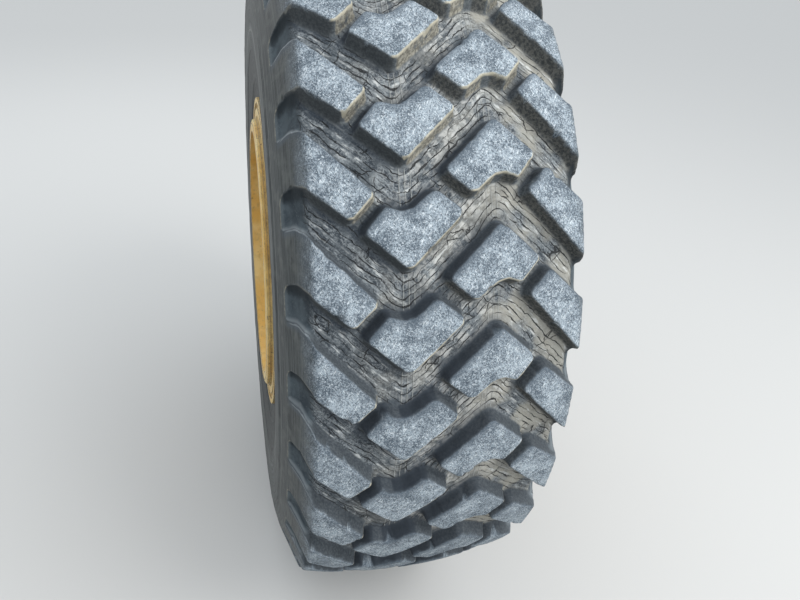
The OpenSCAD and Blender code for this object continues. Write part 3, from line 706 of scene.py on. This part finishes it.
class Paint(Graph):
    """The nodes of one surface's material. Colours are sockets, or 0 to 255 screen values."""

    def __init__(self, name, roughness, metallic=0.0):
        self.material = bpy.data.materials.new(name)
        self.material.use_nodes = True
        super().__init__(self.material.node_tree)
        self.shader = self.tree.nodes["Principled BSDF"]
        self.shader.inputs["Roughness"].default_value = roughness
        self.shader.inputs["Metallic"].default_value = metallic
        self.place = self.node("TexCoord").outputs["Object"]

    def attribute(self, name, output="Fac"):
        return self.node("Attribute", attribute_name=name).outputs[output]

    def step(self, value, low, high):
        """0 below low, 1 above high, smooth between; falls instead where low is above high."""
        start, end = (1.0, 0.0) if low > high else (0.0, 1.0)
        return self.node("MapRange", {
            "Value": value, "From Min": min(low, high), "From Max": max(low, high),
            "To Min": start, "To Max": end}, interpolation_type="SMOOTHSTEP").outputs["Result"]

    def centred(self, noise, most):
        """Noise from 0 to 1, turned into an offset of up to most either way."""
        return self.scaled(noise, 2 * most, -most)

    def vector(self, x, y, z):
        return self.node("CombineXYZ", {0: x, 1: y, 2: z}).outputs[0]

    def stretched(self, x, y, z):
        """The place with each axis scaled, so that a texture there is stretched."""
        return self.node("Mapping", {"Vector": self.place, "Scale": (x, y, z)}).outputs[0]

    def noise(self, size, detail=2.0, rough=0.55, at=None, warp=0.0):
        """Noise from 0 to 1, with features about size across."""
        return self.node("TexNoise", {
            "Vector": self.place if at is None else at, "Scale": 1 / (size * MM),
            "Detail": detail, "Roughness": rough, "Distortion": warp}).outputs["Fac"]

    def warped(self, size, amount):
        """The place, pushed about by noise of a size, up to about amount."""
        push = self.node("TexNoise", {"Vector": self.place, "Scale": 1 / (size * MM)}).outputs["Color"]
        return self.vector_math("MULTIPLY_ADD", push, (amount * MM,) * 3, self.place).outputs[0]

    def cell_borders(self, size, at):
        """Distance from the borders of irregular cells of a size, as a share of it."""
        return self.node("TexVoronoi", {"Vector": at, "Scale": 1 / (size * MM)},
                         feature="DISTANCE_TO_EDGE").outputs["Distance"]

    def mix(self, share, under, over):
        node = self.node("Mix", {0: share}, data_type="RGBA")
        for socket, colour in ((6, under), (7, over)):
            self.put(node.inputs[socket], as_colour(colour))
        return node.outputs[2]

    def coat(self, under, over, *shares):
        """A colour laid over another by the product of some shares."""
        return self.mix(self.times(*shares), under, over)

    def open_sky(self, size):
        """1 in the open, falling towards 0 in corners about size deep."""
        return self.node("AmbientOcclusion", {"Distance": size * MM}, samples=6).outputs["AO"]

    def rounded(self, radius):
        """The surface's normal, rounded over its edges."""
        return self.node("Bevel", {"Radius": radius * MM}, samples=6).outputs["Normal"]

    def edges(self, radius):
        """0 on open faces and more within radius of an edge."""
        normal = self.node("NewGeometry").outputs["Normal"]
        return self.math("SUBTRACT", 1.0, self.vector_math("DOT_PRODUCT", self.rounded(radius), normal)
                         .outputs["Value"])

    def bump(self, height, depth, normal=None):
        """The normal over bumps of about a depth."""
        inputs = {"Distance": depth * MM, "Height": height}
        if normal is not None:
            inputs["Normal"] = normal
        return self.node("Bump", inputs).outputs[0]

    def finish(self, colour, roughness, normal):
        for socket, value in (("Base Color", colour), ("Roughness", roughness), ("Normal", normal)):
            self.put(self.shader.inputs[socket], value)
        return self.material


class TyreRubber(Paint):
    """Worn, dusty, weather-cracked rubber with painted shade and highlights, laid out by the values that the
    tyre's meshes carry.

    edge is the distance outside a lug's outline, across the one along the profile, and reach the same
    without its sign. inward and down say which way the nearest wall faces in the tread's pattern, and lee
    joins them: 1 where it faces down and inboard, and -1 where it faces up and outboard.
    """

    # A wall is that much higher than it is wide, so the top's colour ends high on it
    WALL_STEEPNESS = 4.0

    # Distances along the profile at which something starts and ends
    TOP_ENDS, TOP_THINS = (217, 200), (264, 206)
    CRACKS_END = (232, 214)
    SCOOP_STARTS = (202, 234)
    # Where the painted highlight along the scoops' end starts and ends
    SCOOP_END_HIGHLIGHT = (284, 296)
    RUB_AT, RUB_WIDE = 432.0, (20, 3)
    # Where painted shade on the sidewall starts
    SIDEWALL_SHADE_FROM = (442, 480)
    RIB_SPACING = 4.2

    # Scratches of the tops: lean and size
    SCRATCHES = ((0.55, 1.7), (-0.9, 1.4))
    SCRATCH_STRETCH = 0.12

    def __init__(self):
        super().__init__("tyre_rubber", 0.8)
        self.shader.inputs["Specular IOR Level"].default_value = 0.28
        self.edge, self.across = self.attribute("edge"), self.attribute("across")
        self.inward, self.down = self.attribute("inward"), self.attribute("down")
        self.lee = self.times(self.plus(self.inward, self.down), 0.7)
        self.reach = self.math("ABSOLUTE", self.across)
        self.inboard = self.step(self.across, 20, -120)
        self.broad, self.mid = self.noise(60, 2), self.noise(26, 3, 0.6)
        self.ragged = self.plus(self.most(self.edge, self.times(self.edge, self.WALL_STEEPNESS)),
                                self.centred(self.noise(14, 2), 1.5))
        self.uneven = self.plus(self.edge, self.centred(self.mid, 6))
        self.scoop_share = self.step(self.plus(self.centred(self.mid, 10), self.reach), *self.SCOOP_STARTS)
        self.strata = self.noise(5.5, 3, 0.65, at=self.attribute("strata", "Vector"))
        shifted = self.plus(self.reach, self.centred(self.mid, 15))
        self.worn = self.plus(self.times(self.step(shifted, *self.TOP_ENDS), 0.5),
                              self.times(self.step(shifted, *self.TOP_THINS), 0.5))
        self.grain = self.noise(2.9, 4, 0.8)

    def lines_round(self, fine):
        """A place for textures drawn out in lines round the wheel."""
        place = self.vector(self.times(self.across, fine), 0.0, 0.0)
        return self.vector_math("ADD", self.stretched(0.03, 0.0, 0.03), place).outputs[0]

    def skin(self):
        """Below the shoulders: dark and smooth, with scuffs drawn out round the wheel, and painted shade on
        the sidewall towards the rim.
        """
        low = self.noise(2.8, 2, 0.5, at=self.lines_round(0.0008))
        skin = self.mix(self.step(low, 0.28, 0.72), (46, 51, 53), (84, 89, 89))
        skin = self.coat(skin, (104, 108, 106), self.step(self.mid, 0.46, 0.70), 0.5)
        streaks = self.noise(5, 3, 0.7, at=self.lines_round(0.0011))
        skin = self.coat(skin, (36, 40, 42), self.step(streaks, 0.54, 0.68),
                         self.step(self.reach, 225, 250), 0.45)
        band = self.plus(self.reach, self.centred(self.broad, 12), self.centred(self.mid, 6))
        # Painted shade over the sidewall towards the rim
        skin = self.coat(skin, (34, 37, 39), self.step(band, *self.SIDEWALL_SHADE_FROM), 0.55)
        rub = self.step(self.math("ABSOLUTE", self.plus(band, -self.RUB_AT)), *self.RUB_WIDE)
        scuffs = self.step(self.noise(6, 4, 0.7, at=self.lines_round(0.001)), 0.47, 0.60)
        return self.coat(skin, (150, 153, 150), rub, scuffs, 0.6)

    def scratches(self, lean, size):
        """Thin lines that lean across the tread."""
        turned = self.attribute("round")
        along = self.scaled(turned, lean * MM, self.times(self.across, MM))
        aside = self.scaled(self.across, -self.SCRATCH_STRETCH * lean * MM,
                            self.times(turned, self.SCRATCH_STRETCH * MM))
        return self.step(self.noise(size, 0, 0.5, at=self.vector(along, aside, 0.0)), 0.69, 0.76)

    def tops(self, skin):
        """Worn tops: pale and dark grains, patches and scratches, which fade over the shoulder, and painted
        shade inside the edges where the walls face up and where they face outboard.
        """
        worn, patch = self.worn, self.noise(30, 4, 0.65, warp=0.3)
        grit = self.plus(self.times(self.grain, 0.64), self.times(patch, 0.36))
        specks = self.noise(2.3, 2, 0.6, at=self.stretched(1, 1, 1.4))
        top = self.coat(skin, (80, 91, 101), worn)
        top = self.coat(top, (167, 179, 188), self.step(grit, 0.41, 0.61), worn)
        top = self.coat(top, (210, 219, 226), self.step(self.noise(6, 3, 0.75), 0.57, 0.68), 0.5, worn)
        top = self.coat(top, (54, 62, 71), self.step(self.noise(1.9, 2, 0.6), 0.55, 0.66), 0.75, worn)
        top = self.coat(top, (222, 230, 235), self.step(specks, 0.60, 0.68), 0.7, worn)
        for lean, size in self.SCRATCHES:
            top = self.coat(top, (222, 229, 233), self.scratches(lean, size), 0.75, worn,
                            self.step(patch, 0.42, 0.55))
        # Painted shade inside the edges over walls that face up and outboard, and more where they face up
        top = self.coat(top, (92, 103, 113), self.step(self.edge, -17.0, -1.0),
                        self.step(self.lee, -0.1, -0.9), 0.6)
        return self.coat(top, (66, 75, 84), self.step(self.edge, -15.0, -1.5),
                         self.step(self.down, -0.2, -0.8), 0.4)

    def walls(self):
        """Walls of the lugs: painted shade where they face up and outboard, darker where they face up,
        painted shade with brown dust where they face down and outboard, and dust with painted light where
        they face down and inboard.
        """
        grit = self.noise(5, 3, 0.7)
        wall = self.mix(self.step(self.noise(4, 3, 0.65), 0.35, 0.7), (76, 82, 87), (112, 118, 121))
        # Painted shade on walls that face up and outboard, stronger on the outboard lugs
        wall = self.coat(wall, (42, 49, 58), self.step(self.lee, -0.3, -0.8),
                         self.scaled(self.step(self.across, -90, 10), 0.5, 0.32))
        wall = self.coat(wall, (46, 53, 61), self.step(self.down, -0.3, -0.8), 0.55)
        # Painted shade with brown dust on walls that face down and outboard, greyer on the outboard lugs
        dust_and_painted_shade_below = self.mix(self.step(grit, 0.42, 0.6), (52, 52, 49), (104, 102, 95))
        dust_and_painted_shade_below = self.mix(self.step(self.across, 0, 90), dust_and_painted_shade_below, (52, 56, 58))
        wall = self.coat(wall, dust_and_painted_shade_below, self.step(self.down, 0.1, 0.6), self.step(self.inward, 0.4, -0.3), 0.66)
        # Dust and painted light on walls that face down and inboard, near their tops
        dust_and_painted_light = self.mix(self.step(grit, 0.4, 0.6), (114, 110, 99), (168, 164, 150))
        return self.coat(wall, dust_and_painted_light, self.step(self.lee, 0.3, 0.7), self.step(self.inward, 0.25, 0.6),
                         self.step(self.mid, 0.3, 0.5), self.step(self.edge, 8.0, 4.0), 0.85)

    def floors(self):
        """Groove floors: strata drawn out along the groove with painted highlights on their ridges, pale in
        mid tread, with painted shade at the feet of the walls and a painted shadow under the lugs.
        """
        floor = self.mix(self.step(self.strata, 0.36, 0.66), (52, 59, 66), (128, 134, 137))
        floor = self.coat(floor, (160, 166, 169), self.step(self.noise(3.2, 4, 0.8), 0.47, 0.59), 0.6)
        floor = self.coat(floor, (172, 169, 158), self.inboard, self.step(self.broad, 0.34, 0.54), 0.72)
        floor = self.coat(floor, (170, 164, 150), self.step(self.broad, 0.44, 0.64),
                          self.step(self.reach, 175, 60), 0.3)
        # Painted highlights on the ridges of the strata, in patches
        floor = self.coat(floor, (204, 206, 204), self.step(self.strata, 0.56, 0.63),
                          self.step(self.noise(24, 3), 0.45, 0.56), 0.75)
        floor = self.coat(floor, (198, 198, 194), self.step(self.reach, 120, 30),
                          self.step(self.noise(13, 3, 0.65), 0.44, 0.60), 0.62)
        floor = self.coat(floor, (50, 58, 65), self.step(self.noise(34, 3, 0.6, warp=0.6), 0.46, 0.60),
                          self.scaled(self.inboard, -0.42, 0.56))
        # Painted shade at the feet of walls that face up and outboard, less inboard
        floor = self.coat(floor, (54, 62, 71), self.step(self.uneven, 23.0, 9.0),
                          self.step(self.lee, 0.2, -0.6), self.scaled(self.inboard, -0.25, 0.7))
        # Painted shadow under the lugs, on the floors of the outboard grooves
        return self.coat(floor, (50, 58, 67), self.step(self.down, 0.2, 0.7),
                         self.step(self.uneven, 21.0, 10.0), self.step(self.across, 0, 110), 0.65)

    def cracks(self):
        """Cracks that run along the grooves, with a few across."""
        sway = self.centred(self.noise(46, 2, 0.5), 10)
        shiver = self.centred(self.noise(8, 3, 0.6), 2.5)
        away = self.math("PINGPONG", self.plus(self.attribute("groove"), sway, shiver), CRACK_SPACING)
        width = self.most(self.scaled(self.noise(26, 3), 5.6, -2.1), 0.02)
        along = self.step(self.math("SUBTRACT", 1.0, self.math("DIVIDE", away, width)), 0.0, 0.6)
        across = self.times(self.step(self.cell_borders(34, self.warped(12, 9)), 0.024, 0.006),
                            self.step(self.noise(40, 2), 0.53, 0.60))
        return self.times(self.most(along, across), self.step(self.edge, 5.0, 9.0),
                          self.step(self.reach, *self.CRACKS_END))

    def ribs(self):
        """The mould's thin ribs."""
        comb = self.math("PINGPONG", self.plus(self.reach, 1.4), self.RIB_SPACING)
        return self.times(self.step(comb, 1.3, 0.3), self.attribute("ribs"), self.step(self.edge, 6.0, 11.0))

    def scoops(self):
        """Smooth scoops in the buttress: painted shade under the lug above, and painted highlights along the
        scoop's end and on its lower lip.
        """
        scoop = self.mix(self.step(self.mid, 0.3, 0.7), (54, 63, 70), (82, 92, 98))
        scoop = self.coat(scoop, (140, 147, 148), self.step(self.noise(3, 3, 0.7), 0.6, 0.7), 0.3)
        # Painted shade in the top of the scoop, under the lug above
        scoop = self.coat(scoop, (32, 39, 44), self.step(self.down, 0.0, 0.7),
                          self.step(self.uneven, 26.0, 9.0), 0.85)
        # A painted highlight along the scoop's end, where it meets the skin
        scoop = self.coat(scoop, (120, 128, 130), self.step(self.reach, *self.SCOOP_END_HIGHLIGHT), 0.35)
        # A painted highlight on the scoop's lower lip
        return self.coat(scoop, (146, 153, 156), self.step(self.down, -0.3, -0.9),
                         self.step(self.uneven, 10.0, 2.0), 0.5)

    def edge_lines(self, out):
        """Pale lines along the lug edges: dust with a painted highlight where the walls face down and
        inboard, and a painted highlight where they face up and inboard, out on the shoulders and the lips of
        the scoops.
        """
        line = self.step(self.math("ABSOLUTE", self.plus(self.ragged, 1.6)), 2.2, 0.4)
        # Dust and a painted highlight on the edges over walls that face down and inboard
        out = self.coat(out, (196, 188, 164), line, self.step(self.lee, 0.1, 0.7), self.worn, 0.7)
        # A painted highlight on the edges over walls that face up and inboard, on the shoulders
        painted_highlight = self.step(self.math("SUBTRACT", self.inward, self.down), 0.5, 1.1)
        in_pocket = self.step(self.math("SUBTRACT", self.reach, self.times(self.down, 12.0)), 302, 290)
        return self.coat(out, (180, 188, 192), line, painted_highlight, self.step(self.reach, 205, 235), in_pocket, 0.4)

    def make(self):
        scoop, cracks, ribs = self.scoops(), self.cracks(), self.ribs()
        out = self.mix(self.step(self.ragged, -2.8, 0.4), self.tops(self.skin()), self.walls())
        out = self.edge_lines(out)
        out = self.mix(self.step(self.edge, 5.0, 10.0), out, self.mix(self.scoop_share, self.floors(), scoop))
        out = self.coat(out, scoop, self.scoop_share, self.step(self.edge, -1.0, 2.5))
        out = self.coat(out, (176, 178, 175), ribs, 0.5)
        out = self.coat(out, (38, 40, 42), cracks, 0.92)

        normal = self.bump(self.times(self.grain, self.step(self.edge, 1.0, -3.0), self.worn), 0.7)
        normal = self.bump(self.times(self.strata, self.step(self.edge, 4.0, 9.0),
                                      self.step(self.scoop_share, 1.0, 0.3)), 2.2, normal)
        normal = self.bump(self.math("SUBTRACT", 1.0, cracks), 1.8, normal)
        normal = self.bump(ribs, 1.2, normal)
        normal = self.bump(self.noise(6, 3, 0.6), 0.5, normal)
        rough = self.scaled(self.most(self.worn, self.step(self.edge, -3.0, 3.0)), 0.3, 0.52)
        return self.finish(out, rough, normal)


def painted(name, base, pale, dark, roughness, cast, dirt):
    """Golden paint: faded in patches, with dust and painted shade in corners, chipped to steel and rust at
    edges.
    """
    p = Paint(name, roughness)
    colour = p.mix(p.step(p.noise(90, 3, 0.6), 0.35, 0.7), base, pale)
    colour = p.coat(colour, dark, p.step(p.noise(26, 4, 0.65, warp=0.5), 0.48, 0.78), dirt)
    scuffs = p.noise(1.6, 1, 0.5, at=p.stretched(0.14, 1.0, 0.5))
    colour = p.coat(colour, (226, 204, 156), p.step(scuffs, 0.68, 0.76), 0.4)
    # Dust and painted shade in corners, where little of the open sky reaches
    corner_dirt_and_shade = p.step(p.plus(p.open_sky(22), p.centred(p.noise(11, 3), 0.25)), 0.86, 0.42)
    colour = p.coat(colour, (112, 98, 74), corner_dirt_and_shade, 0.75)
    bared = p.plus(p.edges(5.0), p.centred(p.noise(9, 4, 0.7), 0.4))
    chip = p.most(p.step(bared, 0.11, 0.16), p.step(p.noise(8, 4, 0.7), 0.655, 0.68))
    steel = p.mix(p.step(p.noise(4, 3, 0.6), 0.42, 0.6), (78, 48, 28), (116, 104, 92))
    colour = p.coat(colour, steel, chip, 0.9)
    colour = p.coat(colour, (192, 176, 142), p.step(p.noise(3, 3, 0.65), 0.5, 0.7), 0.3)
    rough = p.plus(p.scaled(p.noise(18, 2), 0.3, roughness - 0.12), p.times(corner_dirt_and_shade, 0.3))
    normal = p.bump(p.noise(9, 3, 0.6), 0.15 + cast, p.rounded(1.5))
    normal = p.bump(p.math("SUBTRACT", 1.0, chip), 0.3, normal)
    if cast:
        normal = p.bump(p.noise(2.2, 3, 0.7), cast, normal)
    return p.finish(colour, rough, normal)


def bare(name, base, stain, roughness, grain=0.2, share=0.6, metallic=1.0):
    """Bare metal or rubber: blotched with rust or grease, with the stain's colour and painted shade in
    corners, rubbed bright at edges.
    """
    p = Paint(name, roughness, metallic)
    blotch = p.times(p.step(p.noise(9, 4, 0.65), 0.48, 0.68), share)
    # The stain's colour and painted shade in corners, where little of the open sky reaches
    corner_dirt_and_shade = p.step(p.open_sky(9), 0.8, 0.3)
    bright = tuple(min(1.0, 1.5 * v) for v in srgb(base))
    colour = p.mix(p.most(blotch, p.times(corner_dirt_and_shade, 0.8)), base, stain)
    colour = p.coat(colour, bright, p.step(p.edges(1.2), 0.05, 0.2), 0.5)
    rough = p.scaled(p.most(blotch, corner_dirt_and_shade), 0.35, roughness)
    return p.finish(colour, rough, p.bump(p.noise(2.5, 3, 0.6), grain, p.rounded(0.7)))


def dress_cad_parts():
    """Give each CAD node its material."""
    steel = bare("bolt_steel", (138, 134, 130), (96, 66, 44), 0.45)
    ground = bare("ground_steel", (176, 176, 178), (84, 76, 62), 0.25, 0.04, 0.35)
    rim = painted("rim_paint", (232, 188, 98), (243, 216, 146), (160, 128, 68), 0.42, 0.0, 0.45)
    cast = painted("casting_paint", (226, 178, 86), (236, 202, 128), (112, 90, 54), 0.55, 0.3, 0.7)
    for material, nodes in (
            (rim, ("rim_base", "bead_seat_band", "inner_side_ring", "outer_side_ring", "lock_ring",
                   "wheel_disc", "wheel_nuts")),
            (cast, ("hub", "hub_cap", "knuckle", "steering_arm")),
            (steel, ("wheel_studs", "hub_cap_bolts", "arm_bolts", "spindle_washer", "spindle_nut")),
            (ground, ("inner_bearing", "outer_bearing", "grease_fittings")),
            (bare("seal_rubber", (38, 38, 38), (70, 66, 58), 0.6, 0.1, 0.5, 0.0), ("hub_seal",)),
            (bare("valve_brass", (168, 138, 82), (96, 84, 56), 0.35, 0.05), ("valve_stem",)),
            (bare("valve_cap", (44, 44, 44), (90, 86, 78), 0.6, 0.1, 0.6, 0.0), ("valve_cap",)),
            (bare("bush_bronze", (166, 126, 78), (60, 48, 32), 0.35, 0.05), ("kingpin_bushes",))):
        for node in nodes:
            mesh = bpy.data.objects[node].data
            mesh.materials.clear()
            mesh.materials.append(material)


# Camera, light and floor

def make_camera():
    """The photograph's view: turned about its own axes from looking straight back along -X."""
    tilt, pan, roll = CAMERA_TURNS
    turn = Matrix.Rotation(roll, 3, "Z") @ Matrix.Rotation(pan, 3, "Y") @ Matrix.Rotation(tilt, 3, "X")
    base = Matrix(((0, 1, 0), (0, 0, 1), (1, 0, 0)))
    data = bpy.data.cameras.new("camera")
    data.sensor_width = SENSOR_W
    data.lens = CAMERA_FOCUS_PX / IMAGE_W * SENSOR_W
    data.clip_start, data.clip_end = CAMERA_CLIP
    camera = add_object("camera", data)
    camera.matrix_world = Matrix.Translation(CAMERA_AT) @ (turn @ base).transposed().to_4x4()
    bpy.context.scene.camera = camera


def make_light():
    """The dome, which shows as a white backdrop, and the lamps."""
    world = bpy.data.worlds.new("world")
    bpy.context.scene.world = world
    world.use_nodes = True
    world.node_tree.nodes.clear()
    g = Graph(world.node_tree)
    ray = g.node("SeparateXYZ", {0: g.node("TexCoord").outputs["Generated"]}).outputs
    height = g.scaled(ray["Y"], SKY_TILT, g.scaled(ray["X"], SKY_TILT, ray["Z"]))
    strength = g.node("MapRange", {
        "Value": height, "From Min": SKY_LOW, "From Max": SKY_HIGH,
        "To Min": SKY_STRENGTHS[0], "To Max": SKY_STRENGTHS[1]}).outputs["Result"]
    sky = g.node("Background", {"Color": SKY_COLOUR, "Strength": strength}).outputs[0]
    white = g.node("Background", {"Color": WHITE}).outputs[0]
    g.node("OutputWorld", {0: g.node("MixShader", {0: g.seen_directly(), 1: sky, 2: white}).outputs[0]})
    for name, at, size, power, colour in LAMPS:
        light = bpy.data.lights.new(name, "AREA")
        light.size, light.energy, light.color = size, power, colour
        lamp = add_object(name, light)
        lamp.location = at
        lamp.rotation_euler = (LAMPS_AIM - Vector(at)).to_track_quat("-Z", "Y").to_euler()


def make_floor():
    """A pale floor that throws back no more light than gravel would."""
    mesh = bpy.data.meshes.new("floor")
    far = FLOOR_REACH_M
    corners = [(x, y, floor_z) for x, y in ((-far, -far), (far, -far), (far, far), (-far, far))]
    mesh.from_pydata(corners, [], [(0, 1, 2, 3)])
    ground = add_object("floor", mesh)
    material = bpy.data.materials.new("floor")
    material.use_nodes = True
    material.node_tree.nodes.clear()
    g = Graph(material.node_tree)
    bounce, seen = (g.node("BsdfDiffuse", {"Color": colour}).outputs[0]
                    for colour in (FLOOR_BOUNCE, FLOOR_SEEN))
    g.node("OutputMaterial", {0: g.node("MixShader", {0: g.seen_directly(), 1: bounce, 2: seen}).outputs[0]})
    mesh.materials.append(material)


make_camera()
make_light()
rubber = TyreRubber().make()
make_tread(rubber)
make_sidewalls(rubber)
dress_cad_parts()
make_floor()
bpy.context.scene.view_settings.view_transform = "Standard"
